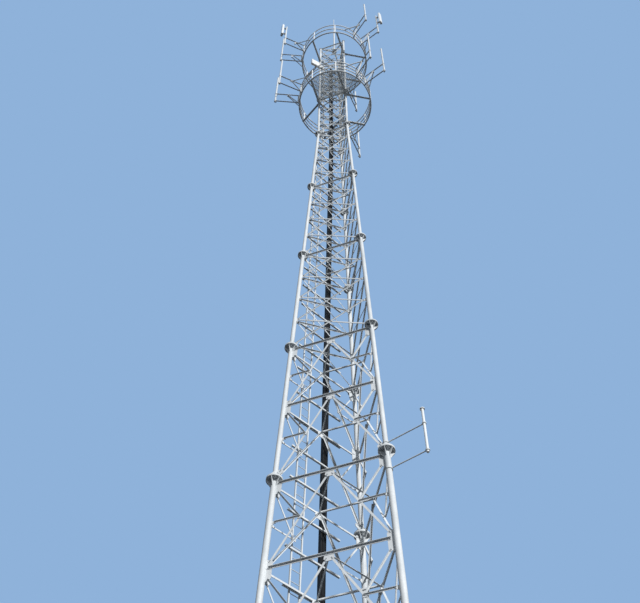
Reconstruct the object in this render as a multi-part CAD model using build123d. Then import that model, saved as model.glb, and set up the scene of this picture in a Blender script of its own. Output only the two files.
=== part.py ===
from build123d import *
import math
import os

# A three-legged antenna tower: pipe legs in flanged sections, angle bracing on all three faces,
# a ladder and a cable tray on the left face, two ring platforms with pole brackets at the head.
# It is a 1:2 scale model in millimetres, so every size here is half of the real tower's.
# The back leg stands at +Y, the front face looks along -Y, and +Z is up.

# Overall form
BASE_WIDTH = 1740.0
TOP_WIDTH = 594.0
SECTION = 2500.0
TAPERED_SECTIONS = 7
K_SECTIONS = 4
HEAD_FLANGE_RISE = 1962.0
HEAD_TOP_RISE = 5625.0

# Legs
LEG_RADII = [34.0, 34.0, 34.0, 28.5, 28.5, 25.0, 25.0]
HEAD_LEG_RADIUS = 22.5
FLANGE_LIPS = [58.5, 58.5, 58.5, 59.0, 51.5, 52.5, 45.0]
HEAD_FLANGE_LIP = 37.5
FLANGE_THICKNESS = 12.0
RIB_COUNT = 6
RIB_THICKNESS = 5.0
RIB_HEIGHT = 105.0
RIB_NOSE = 8.0
RIB_SINK = 3.0
RIB_EDGE = 4.0
RIB_TIP = 5.0
FOOT_RADIUS = 130.0
FOOT_THICKNESS = 20.0
FOOT_RIB_HEIGHT = 157.0
FOOT_RIB_SINK = 6.0
FOOT_RIB_EDGE = 6.0
FOOT_RIB_TURN = 30.0
FOOT_HOLE_TURN = 15.0
FOOT_HOLES = 4
FOOT_HOLE_RADIUS = 9.0
FOOT_HOLE_CIRCLE = 210.0
CAP_THICKNESS = 6.0
CAP_LIP = 12.0

# Gusset plates and angle bars
PLATE = 6.0
PLATE_CORNER = 25.0
FACE_CLEARANCE = 22.0
HORIZONTAL_WIDTH = 24.0
DIAGONAL_WIDTH = 23.0
STRUT_WIDTH = 17.0
CROSS_WIDTH = 20.0
CROSS_FLANGE = 10.0
HEAVY_WALL = 4.0
LIGHT_WALL = 3.0
PLATE_LAP = 36.0
TIE_LAP = 20.0
CROSS_LAP = 22.0
END_LAP = 34.0
PLATE_BELOW = 50.0
PLATE_ABOVE = 36.0
STRUT_PLATE = 24.0
TIE_PLATE = 28.0
CROSS_PLATE = 36.0
HEAD_PLATE = 32.0
JOINT_CLEARANCE = 18.0
HORIZONTAL_DROP = 75.0
LANDING = 75.0
FLANGE_LANDING = 110.0
STRUT_DROP = 130.0
FOOT_LANDING = 100.0
CROSS_LANDING = 70.0
CROSS_PANELS = 4
HEAD_PANELS_LOW = 4
HEAD_PANELS_HIGH = 8
APEX_WIDTH = 110.0
APEX_HEIGHT = 84.0
NODE_PLATE = 44.0
LUG_WIDTH = 60.0
LUG_HEIGHT = 28.0
LUG_DROP = 7.0
PLAN_END = 1.5

# Bars across the left face that carry the ladder and the cable tray
BARS_PER_SECTION = 5
BAR_RISE = 262.0
HEAD_BARS_BELOW = 3
BAR_WIDTH = 22.0
BAR_LOW_END = -330.0
BAR_HIGH_END = 400.0
BAR_LEG_CLEARANCE = 45.0

# Ladder
LADDER_OFFSET = 256.0
LADDER_HEAD_OFFSET = 195.0
LADDER_WIDTH = 130.0
LADDER_FOOT = 150.0
LADDER_TOP_RISE = 5200.0
LADDER_RAIL = 16.0
LADDER_RAIL_WIDTH = 15.0
RUNG_RADIUS = 4.0
RUNG_PITCH = 150.0

# Cable tray and feeder cables
TRAY_OFFSET = -128.0
TRAY_HEAD_OFFSET = -95.0
TRAY_RAIL = 40.0
TRAY_RAIL_WALL = 5.0
TRAY_RUNG = 20.0
TRAY_RUNG_WALL = 6.0
TRAY_PITCH = 500.0
CABLE_RADIUS = 10.5
CABLE_COUNT = 3
CABLE_GAP = 1.5
CABLE_FOOT = 300.0
CABLE_TOP_RISE = 4900.0

# Platforms
RING_RADIUS = 765.0
RING_PIPE = 15.0
RING_SINK = 2.0
LOWER_RING_RISE = 1775.0
UPPER_RING_RISE = 4625.0
ARM_SPREAD = 60.0
ARM_WIDTH = 40.0
ARM_START = 28.0
SHELF_REACH = 80.0
SHELF_WIDTH = 50.0
SHELF_THICKNESS = 6.0
RAIL_PIPE = 11.0
LOWER_RAILS = [195.0, 390.0, 590.0]
UPPER_RAILS = [290.0, 590.0]
RAIL_POSTS = 9
POST_PIPE = 12.0
FLOOR_THICKNESS = 6.0
FLOOR_END = -23.0
FLOOR_FACE_CLEARANCE = 11.0
FLOOR_LEG_CLEARANCE = 25.0
FLOOR_RIM_CLEARANCE = 2.0
GAP = 0.3

# Pole brackets and poles
BRACKET_ANGLES = [-6.0, 12.5]
BRACKET_POST = 14.0
BRACKET_POST_LENGTH = 460.0
BRACKET_BAR = 24.0
BRACKET_REACH = 472.0
BRACKET_PLATE = 60.0
BRACE_SPREAD = 16.0
BRACE_WIDTH = 19.0
STAY_START = 5.0
STAY_LIFT = 20.0
POLE_RADIUS = 18.0
POLE_CLAMP_WALL = 5.0
POLE_CLAMP_HEIGHT = 14.0
POLE_CLAMP_SINK = 1.0
LOWER_POLE_LENGTH = 1550.0
UPPER_POLE_LENGTH = 1420.0
LONG_POLE_LENGTH = 1780.0
POLE_DROP = 40.0

# Antennas and head fittings
ANTENNA_WIDTH = 94.0
ANTENNA_DEPTH = 55.0
ANTENNA_LENGTH = 760.0
ANTENNA_STANDOFF = 54.0
ANTENNA_RISE = 590.0
CLAMP_INSET = 152.0
CLAMP_HEIGHT = 18.0
CLAMP_SINK = 3.0
ROD_LOWER_LENGTH = 1776.0
ROD_UPPER_LENGTH = 1184.0
ROD_RADIUS = 20.0
ROD_TIP_RADIUS = 9.0
ROD_PLATE = 8.0
HUB_RADIUS = 60.0
HUB_BAR = 30.0

# Side antenna on the right leg
SIDE_RISE = 7175.0
SIDE_LENGTH = 680.0
SIDE_RADIUS = 15.0
SIDE_HEADING = -15.0
SIDE_REACH = 457.0
SIDE_ARMS = [30.0, 447.0]
SIDE_SECTIONS = [2, 3]
SIDE_ARM = 7.0
SIDE_COLLAR = 8.0
SIDE_CAP = 16.0
SIDE_CAP_LIP = 12.0

# White boxes in line on the lower platform's top rail: place, heading, and length, depth and height
BOX_ANGLE = 258.0
BOX_OUT = 44.0
BOX_HEADING = 228.0
LONG_BOX = (190.0, 60.0, 260.0)
SHORT_BOX = (100.0, 60.0, 140.0)

# Places worked out from the sizes above
BASE_RADIUS = BASE_WIDTH / math.sqrt(3)
TOP_RADIUS = TOP_WIDTH / math.sqrt(3)
TAPER_HEIGHT = SECTION * TAPERED_SECTIONS
HEAD_FLANGE = TAPER_HEIGHT + HEAD_FLANGE_RISE
TOWER_TOP = TAPER_HEIGHT + HEAD_TOP_RISE
LOWER_RING = TAPER_HEIGHT + LOWER_RING_RISE
UPPER_RING = TAPER_HEIGHT + UPPER_RING_RISE
FACE_LEAN = math.atan2((BASE_RADIUS - TOP_RADIUS) / 2, TAPER_HEIGHT)
RIGHT_LEG = -30.0
K_LEG_RADIUS = max(LEG_RADII[:K_SECTIONS])
ARM_SEAT = RING_PIPE - RING_SINK + HEAVY_WALL
ARM_TOP = ARM_SEAT + RING_PIPE + GAP
BAR_LAYER = PLATE / 2 + HORIZONTAL_WIDTH
RUN_LAYER = BAR_LAYER + BAR_WIDTH

os.makedirs("parts", exist_ok=True)


def leg_radius_at(z):
    """Distance from the tower's axis to a leg's axis at height z."""
    share = min(z / TAPER_HEIGHT, 1.0)
    return BASE_RADIUS + (TOP_RADIUS - BASE_RADIUS) * share


def half_width_at(z):
    return leg_radius_at(z) * math.sqrt(3) / 2


def leg_point(z, angle=RIGHT_LEG):
    r = leg_radius_at(z)
    a = math.radians(angle)
    return Vector(r * math.cos(a), r * math.sin(a), z)


def front_plane(tapered):
    """Plane of the front face's bracing: x to the right, y up the face, z outwards."""
    lean = FACE_LEAN if tapered else 0.0
    depth = (BASE_RADIUS if tapered else TOP_RADIUS) / 2
    normal = (0, -math.cos(lean), math.sin(lean))
    return Plane(origin=(0, -depth, 0), x_dir=(1, 0, 0), z_dir=normal)


def up_face(z, tapered):
    """Distance up the face for height z."""
    return z / math.cos(FACE_LEAN) if tapered else z


def all_round(shape):
    """Copies of a shape of the right leg or the front face, turned to the other two."""
    return [Rot(0, 0, turn) * shape for turn in (0, 120, 240)]


def save(name, shape):
    solids = []
    for item in shape if isinstance(shape, list) else [shape]:
        solids += item.solids()
    placed = [Pos(0, -BASE_RADIUS, 0) * solid for solid in solids]
    out = placed[0] if len(placed) == 1 else Compound(children=placed)
    export_step(out, f"parts/{name}.step")


def plate_shape(points, thickness=PLATE, middle=True):
    """Flat plate in a face's own plane, from its outline."""
    face = make_face(Polyline(*points, close=True))
    return extrude(face, amount=thickness / 2 if middle else thickness, both=middle)


def angle_bar(start, end, width, wall, out=True, up=True, layer=PLATE / 2, height=None):
    """Angle bar lying against one side of the gusset plates, from start to end in the face's plane.

    out puts it on the outer side, and up puts its standing flange on the left of its direction.
    The standing flange is as high as the bar is wide, unless its height is given."""
    height = height or width
    run = Vector(*end, 0) - Vector(*start, 0)
    side = Vector(-run.Y, run.X, 0) if out else Vector(run.Y, -run.X, 0)
    lift = layer if out else -layer
    frame = Plane(origin=(start[0], start[1], lift), x_dir=side, z_dir=run)
    hand = 1 if up == out else -1
    half = width / 2 * hand
    web = wall * hand
    outline = [(-half, 0), (half, 0), (half, height), (half - web, height), (half - web, wall), (-half, wall)]
    return extrude(frame * make_face(Polyline(*outline, close=True)), amount=run.length)


def leg_gusset(tapered, z_low, z_high, reach, side):
    """Gusset plate on a leg, in the front face's plane."""
    low = up_face(z_low, tapered)
    high = up_face(z_high, tapered)
    inner_low = half_width_at(z_low) - reach
    inner_high = half_width_at(z_high) - reach
    points = [(half_width_at(z_low), low), (inner_low + reach / 2, low), (inner_low, low + PLATE_CORNER),
              (inner_high, high - PLATE_CORNER), (inner_high + reach / 2, high), (half_width_at(z_high), high)]
    points = [(side * x, y) for x, y in points]
    return front_plane(tapered).location * plate_shape(points)


def flange(origin, axis, radius, lip, up):
    """Flange disc with ribs; up says which way its tube leaves."""
    direction = axis if up else axis * -1
    base = Plane(origin=origin, x_dir=(0, 1, 0), z_dir=direction)
    disc = base * extrude(Circle(radius + lip), amount=FLANGE_THICKNESS)
    root = FLANGE_THICKNESS - RIB_SINK
    edge = radius + lip - RIB_EDGE
    profile = [(radius - RIB_SINK, root), (edge, root), (edge, FLANGE_THICKNESS + RIB_NOSE),
               (radius + RIB_TIP, RIB_HEIGHT), (radius - RIB_SINK, RIB_HEIGHT)]
    rib = extrude(Plane.XZ * make_face(Polyline(*profile, close=True)), amount=RIB_THICKNESS / 2, both=True)
    shape = disc
    for i in range(RIB_COUNT):
        turn = 360 / RIB_COUNT * i
        shape += base.location * (Rot(0, 0, turn) * rib)
    return shape


def foot():
    """Round foot plate with its ribs, at the right leg."""
    at = Pos(*leg_point(0))
    plate = at * extrude(Circle(FOOT_RADIUS), amount=FOOT_THICKNESS)
    radius = LEG_RADII[0]
    root = FOOT_THICKNESS - RIB_SINK
    edge = FOOT_RADIUS - FOOT_RIB_EDGE
    inner = radius - FOOT_RIB_SINK
    profile = [(inner, root), (edge, root), (edge, FOOT_THICKNESS + RIB_NOSE),
               (radius + RIB_TIP, FOOT_RIB_HEIGHT), (inner, FOOT_RIB_HEIGHT)]
    rib = extrude(Plane.XZ * make_face(Polyline(*profile, close=True)), amount=RIB_THICKNESS / 2, both=True)
    for i in range(RIB_COUNT):
        plate += at * Rot(0, 0, FOOT_RIB_TURN + 360 / RIB_COUNT * i) * rib
    hole = Pos(FOOT_HOLE_CIRCLE / 2, 0, 0) * Cylinder(FOOT_HOLE_RADIUS, FOOT_THICKNESS * 2)
    for i in range(FOOT_HOLES):
        plate -= at * Rot(0, 0, FOOT_HOLE_TURN + 360 / FOOT_HOLES * i) * hole
    return plate


def leg_section(index):
    """One section of the right leg: pipe, flanges and gusset plates."""
    z_low = SECTION * index
    z_high = SECTION * (index + 1)
    low = leg_point(z_low)
    high = leg_point(z_high)
    axis = (high - low).normalized()
    radius = LEG_RADII[index]
    level = Vector(0, 0, 1)
    start = low + axis * (FOOT_THICKNESS / 2 if index == 0 else 0)
    end = high - axis * (FLANGE_THICKNESS / 2 if index == TAPERED_SECTIONS - 1 else 0)
    frame = Plane(origin=start, x_dir=(0, 1, 0), z_dir=axis)
    shape = frame * extrude(Circle(radius), amount=(end - start).length)
    if index == 0:
        shape += foot()
    else:
        lip = FLANGE_LIPS[index - 1] + LEG_RADII[index - 1] - radius
        shape += flange(low, axis, radius, lip, True)
    top_axis = level if index == TAPERED_SECTIONS - 1 else axis
    shape += flange(high, top_axis, radius, FLANGE_LIPS[index], False)
    for side, turn in ((1, 0), (-1, 120)):
        for low_edge, high_edge, reach in section_gussets(index):
            plate = leg_gusset(True, z_low + low_edge, z_low + high_edge, reach, side)
            shape += Rot(0, 0, turn) * plate
    return shape


def plate_reach(radius, lap):
    """How far a gusset plate reaches from the leg's axis to lap the end of a bar."""
    return radius + FACE_CLEARANCE + lap


def k_foot(index):
    """Height above a section's foot at which its lowest diagonals start."""
    return FOOT_LANDING + FOOT_THICKNESS if index == 0 else FLANGE_LANDING


def tie_level(foot_at, top_bar):
    """Height of the ties, halfway up the diagonals of one panel."""
    return (foot_at + top_bar - APEX_HEIGHT / 2) / 2


def section_gussets(index):
    """Lower edge, upper edge and reach of each gusset plate on one section of a leg."""
    radius = LEG_RADII[index]
    start = FLANGE_THICKNESS + JOINT_CLEARANCE
    top = SECTION - start
    top_bar = SECTION - HORIZONTAL_DROP
    if index < K_SECTIONS:
        wide = plate_reach(K_LEG_RADIUS, PLATE_LAP)
        narrow = plate_reach(K_LEG_RADIUS, TIE_LAP)
        half = SECTION / 2
        foot_at = k_foot(index)
        ties = [tie_level(foot_at, half), tie_level(half + LANDING, top_bar)]
        spots = [(foot_at - PLATE_BELOW, foot_at + PLATE_ABOVE, wide),
                 (half - STRUT_DROP - STRUT_PLATE, half + LANDING + PLATE_ABOVE, wide),
                 (top_bar - STRUT_DROP - STRUT_PLATE, top, wide)]
        return spots + [(tie - TIE_PLATE, tie + TIE_PLATE, narrow) for tie in ties]
    ends = plate_reach(radius, END_LAP)
    pitch = cross_pitch(SECTION, CROSS_PANELS)
    spots = [(start, CROSS_LANDING + CROSS_PLATE, ends)]
    for i in range(1, CROSS_PANELS):
        at = CROSS_LANDING + pitch * i
        spots.append((at - CROSS_PLATE, at + CROSS_PLATE, plate_reach(radius, CROSS_LAP)))
    spots.append((top_bar - CROSS_PLATE, top, ends))
    return spots


def cross_pitch(height, panels):
    return (height - CROSS_LANDING * 2) / panels


def head_section(z_low, z_high, panels, shelf_z, capped):
    """One section of the right leg above the taper."""
    low = leg_point(z_low)
    up = Vector(0, 0, 1)
    shape = Pos(*low) * extrude(Circle(HEAD_LEG_RADIUS), amount=z_high - z_low)
    below = HEAD_FLANGE_LIP if z_low > TAPER_HEIGHT else FLANGE_LIPS[-1] + LEG_RADII[-1] - HEAD_LEG_RADIUS
    shape += flange(low, up, HEAD_LEG_RADIUS, below, True)
    top = leg_point(z_high)
    if capped:
        shape += Pos(*top) * extrude(Circle(HEAD_LEG_RADIUS + CAP_LIP), amount=-CAP_THICKNESS)
    else:
        shape += flange(top, up, HEAD_LEG_RADIUS, HEAD_FLANGE_LIP, False)
    for turn in (-ARM_SPREAD, ARM_SPREAD):
        slab = Pos(SHELF_REACH / 2, 0, -SHELF_THICKNESS / 2) * Box(SHELF_REACH, SHELF_WIDTH, SHELF_THICKNESS)
        shape += Pos(low.X, low.Y, shelf_z) * Rot(0, 0, RIGHT_LEG + turn) * slab
    pitch = cross_pitch(z_high - z_low, panels)
    for i in range(panels + 1):
        at = z_low + CROSS_LANDING + pitch * i
        for side, turn in ((1, 0), (-1, 120)):
            reach = plate_reach(HEAD_LEG_RADIUS, CROSS_LAP)
            shape += Rot(0, 0, turn) * leg_gusset(False, at - HEAD_PLATE, at + HEAD_PLATE, reach, side)
    return shape


def k_panel(z_low, z_high, low_landing, top_bar):
    """One panel of inverted V bracing on the front face, in the face's own plane."""
    low = up_face(z_low + low_landing, True)
    top = up_face(top_bar, True)
    strut_top = up_face(top_bar - STRUT_DROP, True)
    clear_low = half_width_at(z_low) - FACE_CLEARANCE - K_LEG_RADIUS
    clear_high = half_width_at(z_high) - FACE_CLEARANCE - K_LEG_RADIUS
    apex_y = top - APEX_HEIGHT / 2
    shapes = [angle_bar((-clear_high, top), (clear_high, top), HORIZONTAL_WIDTH, HEAVY_WALL)]
    half = APEX_WIDTH / 2
    apex = [(-half * 0.8, top + HORIZONTAL_WIDTH / 3), (half * 0.8, top + HORIZONTAL_WIDTH / 3),
            (half, top - APEX_HEIGHT * 0.6), (half * 0.6, top - APEX_HEIGHT),
            (-half * 0.6, top - APEX_HEIGHT), (-half, top - APEX_HEIGHT * 0.6)]
    shapes.append(plate_shape(apex))
    for side in (-1, 1):
        foot_end = (side * clear_low, low)
        head_end = (side * APEX_WIDTH / 5, apex_y)
        middle = ((foot_end[0] + head_end[0]) / 2, (foot_end[1] + head_end[1]) / 2)
        shapes.append(angle_bar(foot_end, head_end, DIAGONAL_WIDTH, HEAVY_WALL, False, side < 0))
        tie_x = half_width_at(middle[1] * math.cos(FACE_LEAN)) - FACE_CLEARANCE - K_LEG_RADIUS
        shapes.append(angle_bar(middle, (side * tie_x, middle[1]), STRUT_WIDTH, LIGHT_WALL, True, side > 0))
        strut_end = (side * clear_high, strut_top)
        shapes.append(angle_bar(middle, strut_end, STRUT_WIDTH, LIGHT_WALL, True, side > 0))
        box = NODE_PLATE / 2
        corners = [(middle[0] - box, middle[1] - box), (middle[0] + box, middle[1] - box),
                   (middle[0] + box, middle[1] + box), (middle[0] - box, middle[1] + box)]
        shapes.append(plate_shape(corners))
    return shapes


def crossed_panel(z_low, z_high, tapered, leg_radius):
    """One panel of crossed bars, in the face's own plane."""
    low = up_face(z_low, tapered)
    high = up_face(z_high, tapered)
    x_low = half_width_at(z_low) - FACE_CLEARANCE - leg_radius
    x_high = half_width_at(z_high) - FACE_CLEARANCE - leg_radius
    rising = angle_bar((-x_low, low), (x_high, high), CROSS_WIDTH, LIGHT_WALL, height=CROSS_FLANGE)
    falling = angle_bar((-x_high, high), (x_low, low), CROSS_WIDTH, LIGHT_WALL, False)
    share = x_low / (x_low + x_high)
    y = low + (high - low) * share
    spacer = Pos(0, y, 0) * Box(CROSS_WIDTH, CROSS_WIDTH, PLATE)
    return [rising, falling, spacer]


def cross_bar(z, tapered, leg_radius):
    """Full-width horizontal of the front face."""
    x = half_width_at(z) - FACE_CLEARANCE - leg_radius
    y = up_face(z, tapered)
    return angle_bar((-x, y), (x, y), HORIZONTAL_WIDTH, LIGHT_WALL)


def fuse_all(shapes):
    return shapes[0].fuse(*shapes[1:])


def lower_bracing():
    shapes = []
    for i in range(K_SECTIONS):
        base = SECTION * i
        middle = base + SECTION / 2
        top = base + SECTION
        shapes += k_panel(base, middle, k_foot(i), middle)
        shapes += k_panel(middle, top, LANDING, top - HORIZONTAL_DROP)
    return shapes


def upper_bracing():
    shapes = []
    for i in range(K_SECTIONS, TAPERED_SECTIONS):
        base = SECTION * i
        radius = LEG_RADII[i]
        pitch = cross_pitch(SECTION, CROSS_PANELS)
        for j in range(CROSS_PANELS):
            low = base + CROSS_LANDING + pitch * j
            shapes += crossed_panel(low, low + pitch, True, radius)
        shapes.append(cross_bar(base + SECTION - HORIZONTAL_DROP, True, radius))
    return shapes


def head_bracing():
    shapes = []
    spans = [(TAPER_HEIGHT, HEAD_FLANGE, HEAD_PANELS_LOW), (HEAD_FLANGE, TOWER_TOP, HEAD_PANELS_HIGH)]
    for low, high, panels in spans:
        pitch = cross_pitch(high - low, panels)
        for j in range(panels):
            z = low + CROSS_LANDING + pitch * j
            shapes += crossed_panel(z, z + pitch, False, HEAD_LEG_RADIUS)
        shapes.append(cross_bar(high - CROSS_LANDING, False, HEAD_LEG_RADIUS))
    return shapes


def plan_frame(z, layer):
    """Triangle of angle bars between the middles of the three horizontals at one level."""
    y = up_face(z, True)
    size = (LUG_WIDTH, LUG_HEIGHT, HEAVY_WALL)
    lug = Pos(0, y - LUG_DROP, layer) * Box(*size, align=(Align.CENTER, Align.CENTER, Align.MIN))
    shapes = all_round(front_plane(True).location * lug)
    tip = STRUT_WIDTH / 2 * math.sin(math.radians(30))
    reach = leg_radius_at(z) / 2 + layer + HEAVY_WALL - PLAN_END - tip
    corners = []
    for turn in (0, 120, 240):
        a = math.radians(270 + turn)
        corners.append((reach * math.cos(a), reach * math.sin(a)))
    for i in range(3):
        bar = angle_bar(corners[i], corners[(i + 1) % 3], STRUT_WIDTH, LIGHT_WALL, True, True, 0)
        shapes.append(Pos(0, 0, z) * bar)
    return fuse_all(shapes)


def plan_bracing():
    frames = []
    for i in range(TAPERED_SECTIONS):
        base = SECTION * i
        inner = -PLATE / 2 - HEAVY_WALL
        if i < K_SECTIONS:
            frames.append(plan_frame(base + SECTION / 2, inner))
            frames.append(plan_frame(base + SECTION - HORIZONTAL_DROP, inner))
        else:
            frames.append(plan_frame(base + SECTION - HORIZONTAL_DROP, PLATE / 2 - HEAVY_WALL))
    return frames


def left_face(tapered):
    """Placing of the front face's plane on the left face."""
    return Rot(0, 0, 240) * front_plane(tapered).location


def bar_levels():
    levels = []
    pitch = SECTION / BARS_PER_SECTION
    z = BAR_RISE
    while z < TAPER_HEIGHT:
        levels.append((z, True))
        z += pitch
    z = HEAD_FLANGE - CROSS_LANDING - HEAD_BARS_BELOW * pitch
    while z < TAPER_HEIGHT + LADDER_TOP_RISE:
        levels.append((z, False))
        z += pitch
    return levels


def carrier_bars():
    bars = []
    for z, tapered in bar_levels():
        limit = half_width_at(z) - BAR_LEG_CLEARANCE
        low = max(BAR_LOW_END, -limit)
        high = min(BAR_HIGH_END, limit)
        y = up_face(z, tapered)
        bar = angle_bar((low, y), (high, y), BAR_WIDTH, LIGHT_WALL, True, False, BAR_LAYER)
        bars.append(left_face(tapered) * bar)
    return bars


def run_line(offset, head_offset, z):
    """Sideways place, on the left face, of what runs up it from the foot to the head."""
    return offset + (head_offset - offset) * min(z / TAPER_HEIGHT, 1.0)


def face_run(offset, head_offset, side, width, depth, layer, z_foot, z_top):
    """Flat rail up the left face: one straight piece up the taper and one up the head, joined."""
    pieces = []
    for tapered, low, high in ((True, z_foot, TAPER_HEIGHT), (False, TAPER_HEIGHT, z_top)):
        x_low = run_line(offset, head_offset, low) + side
        x_high = run_line(offset, head_offset, high) + side
        y_low = up_face(low, tapered)
        y_high = up_face(high, tapered)
        half = width / 2
        outline = [(x_low - half, y_low), (x_low + half, y_low),
                   (x_high + half, y_high), (x_high - half, y_high)]
        piece = Pos(0, 0, layer) * extrude(make_face(Polyline(*outline, close=True)), amount=depth)
        pieces.append(left_face(tapered) * piece)
    return pieces


def rung_levels(pitch, z_foot, z_top):
    count = int((z_top - z_foot) / pitch)
    return [z_foot + pitch * (i + 0.5) for i in range(count)]


def ladder():
    z_top = TAPER_HEIGHT + LADDER_TOP_RISE
    shapes = []
    for side in (-LADDER_WIDTH / 2, LADDER_WIDTH / 2):
        shapes += face_run(LADDER_OFFSET, LADDER_HEAD_OFFSET, side, LADDER_RAIL_WIDTH, LADDER_RAIL,
                           RUN_LAYER, LADDER_FOOT, z_top)
    for z in rung_levels(RUNG_PITCH, LADDER_FOOT, z_top):
        tapered = z < TAPER_HEIGHT
        x = run_line(LADDER_OFFSET, LADDER_HEAD_OFFSET, z)
        rung = Pos(x, up_face(z, tapered), RUN_LAYER + LADDER_RAIL / 2) * Rot(0, 90, 0) * Cylinder(
            RUNG_RADIUS, LADDER_WIDTH)
        shapes.append(left_face(tapered) * rung)
    return fuse_all(shapes)


def tray_half():
    """Half the tray's width, from the cables that it holds."""
    return (CABLE_COUNT * (CABLE_RADIUS * 2 + CABLE_GAP) + CABLE_GAP + TRAY_RAIL_WALL) / 2


def cable_tray():
    z_top = TAPER_HEIGHT + CABLE_TOP_RISE
    shapes = []
    for side in (-tray_half(), tray_half()):
        shapes += face_run(TRAY_OFFSET, TRAY_HEAD_OFFSET, side, TRAY_RAIL_WALL, TRAY_RAIL,
                           RUN_LAYER, CABLE_FOOT, z_top)
    for z in rung_levels(TRAY_PITCH, CABLE_FOOT, z_top):
        tapered = z < TAPER_HEIGHT
        x = run_line(TRAY_OFFSET, TRAY_HEAD_OFFSET, z)
        out = RUN_LAYER + CABLE_RADIUS * 2 + GAP * 2 + TRAY_RUNG_WALL / 2
        rung = Pos(x, up_face(z, tapered), out) * Box(tray_half() * 2, TRAY_RUNG, TRAY_RUNG_WALL)
        shapes.append(left_face(tapered) * rung)
    return fuse_all(shapes)


def feeder_cables():
    cables = []
    z_top = TAPER_HEIGHT + CABLE_TOP_RISE
    out = RUN_LAYER + CABLE_RADIUS + GAP
    pitch = CABLE_RADIUS * 2 + CABLE_GAP
    for i in range(CABLE_COUNT):
        side = (i - (CABLE_COUNT - 1) / 2) * pitch
        points = []
        for z, tapered in ((CABLE_FOOT, True), (TAPER_HEIGHT, True), (z_top, False)):
            x = run_line(TRAY_OFFSET, TRAY_HEAD_OFFSET, z) + side
            points.append((left_face(tapered) * Pos(x, up_face(z, tapered), out)).position)
        path = Polyline(*points)
        section = Plane(origin=points[0], z_dir=points[1] - points[0]) * Circle(CABLE_RADIUS)
        cables.append(sweep(section, path=path, transition=Transition.RIGHT))
    return cables


def ring_frame(level):
    """Ring pipe on six arms, two from each leg."""
    shapes = [Pos(0, 0, level) * Torus(RING_RADIUS, RING_PIPE)]
    reach = TOP_RADIUS * math.cos(math.radians(ARM_SPREAD))
    far = math.sqrt(RING_RADIUS ** 2 - TOP_RADIUS ** 2 + reach ** 2) - reach
    floor = level - ARM_SEAT
    for leg in (90, 210, 330):
        for hand in (-1, 1):
            half = ARM_WIDTH / 2 * hand
            wall = HEAVY_WALL * hand
            outline = [(-half, 0), (half, 0), (half, ARM_TOP), (half - wall, ARM_TOP),
                       (half - wall, HEAVY_WALL), (-half, HEAVY_WALL)]
            across = Plane(origin=(ARM_START, 0, 0), x_dir=(0, 1, 0), z_dir=(1, 0, 0))
            section = across * make_face(Polyline(*outline, close=True))
            arm = extrude(section, amount=far - ARM_START + RING_PIPE)
            base = leg_point(level, leg)
            shapes.append(Pos(base.X, base.Y, floor) * Rot(0, 0, leg + hand * ARM_SPREAD) * arm)
    return fuse_all(shapes)


def railing(level, rails):
    radius = rail_radius()
    shapes = [Pos(0, 0, level + rise) * Torus(radius, RAIL_PIPE) for rise in rails]
    foot_z = level + RING_PIPE + GAP
    top = level + rails[-1]
    for i in range(RAIL_POSTS):
        post = Pos(radius, 0, foot_z) * extrude(Circle(POST_PIPE), amount=top - foot_z)
        shapes.append(Rot(0, 0, 90 + 360 / RAIL_POSTS * i) * post)
    return fuse_all(shapes)


def platform_floor():
    """Floor over the front of the lower ring, from the left leg's arm round to the right leg."""
    z = LOWER_RING + RING_PIPE + GAP
    rim = RING_RADIUS - POST_PIPE - FLOOR_RIM_CLEARANCE
    left = -(TOP_WIDTH + ARM_WIDTH) / 2
    right = TOP_WIDTH / 2 + HEAD_LEG_RADIUS + FLOOR_LEG_CLEARANCE
    inner = -TOP_RADIUS / 2 - HEAD_LEG_RADIUS - FLOOR_FACE_CLEARANCE
    a = math.radians(FLOOR_END)
    end = (rim * math.cos(a), rim * math.sin(a))
    corner = (right, right * math.tan(a))
    start = (left, -math.sqrt(rim ** 2 - left ** 2))
    edge = [Line((left, inner), start), ThreePointArc(start, (0, -rim), end), Line(end, corner),
            Line(corner, (right, inner)), Line((right, inner), (left, inner))]
    return Pos(0, 0, z) * extrude(make_face(edge), amount=FLOOR_THICKNESS)


def bracket_radius():
    return RING_RADIUS + RING_PIPE + GAP + BRACKET_POST


def pole_radius():
    return bracket_radius() + BRACKET_REACH + GAP + POLE_RADIUS


def pole_clamp():
    """Clamp round a pole, with two legs back to the bracket's end plate; the pole's axis is at z."""
    inner = POLE_RADIUS + GAP
    outer = inner + POLE_CLAMP_WALL
    back = inner + POLE_CLAMP_SINK
    align = (Align.MAX, Align.CENTER)
    outside = Circle(outer) + Rectangle(back, outer * 2, align=align)
    inside = Circle(inner) + Rectangle(back + POLE_CLAMP_SINK, inner * 2, align=align)
    clamp = extrude(outside - inside, amount=POLE_CLAMP_HEIGHT / 2, both=True)
    front = Pos(-back, 0, 0) * Box(back + outer, outer * 3, POLE_CLAMP_HEIGHT * 2,
                                   align=(Align.MIN, Align.CENTER, Align.CENTER))
    return clamp & front


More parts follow.
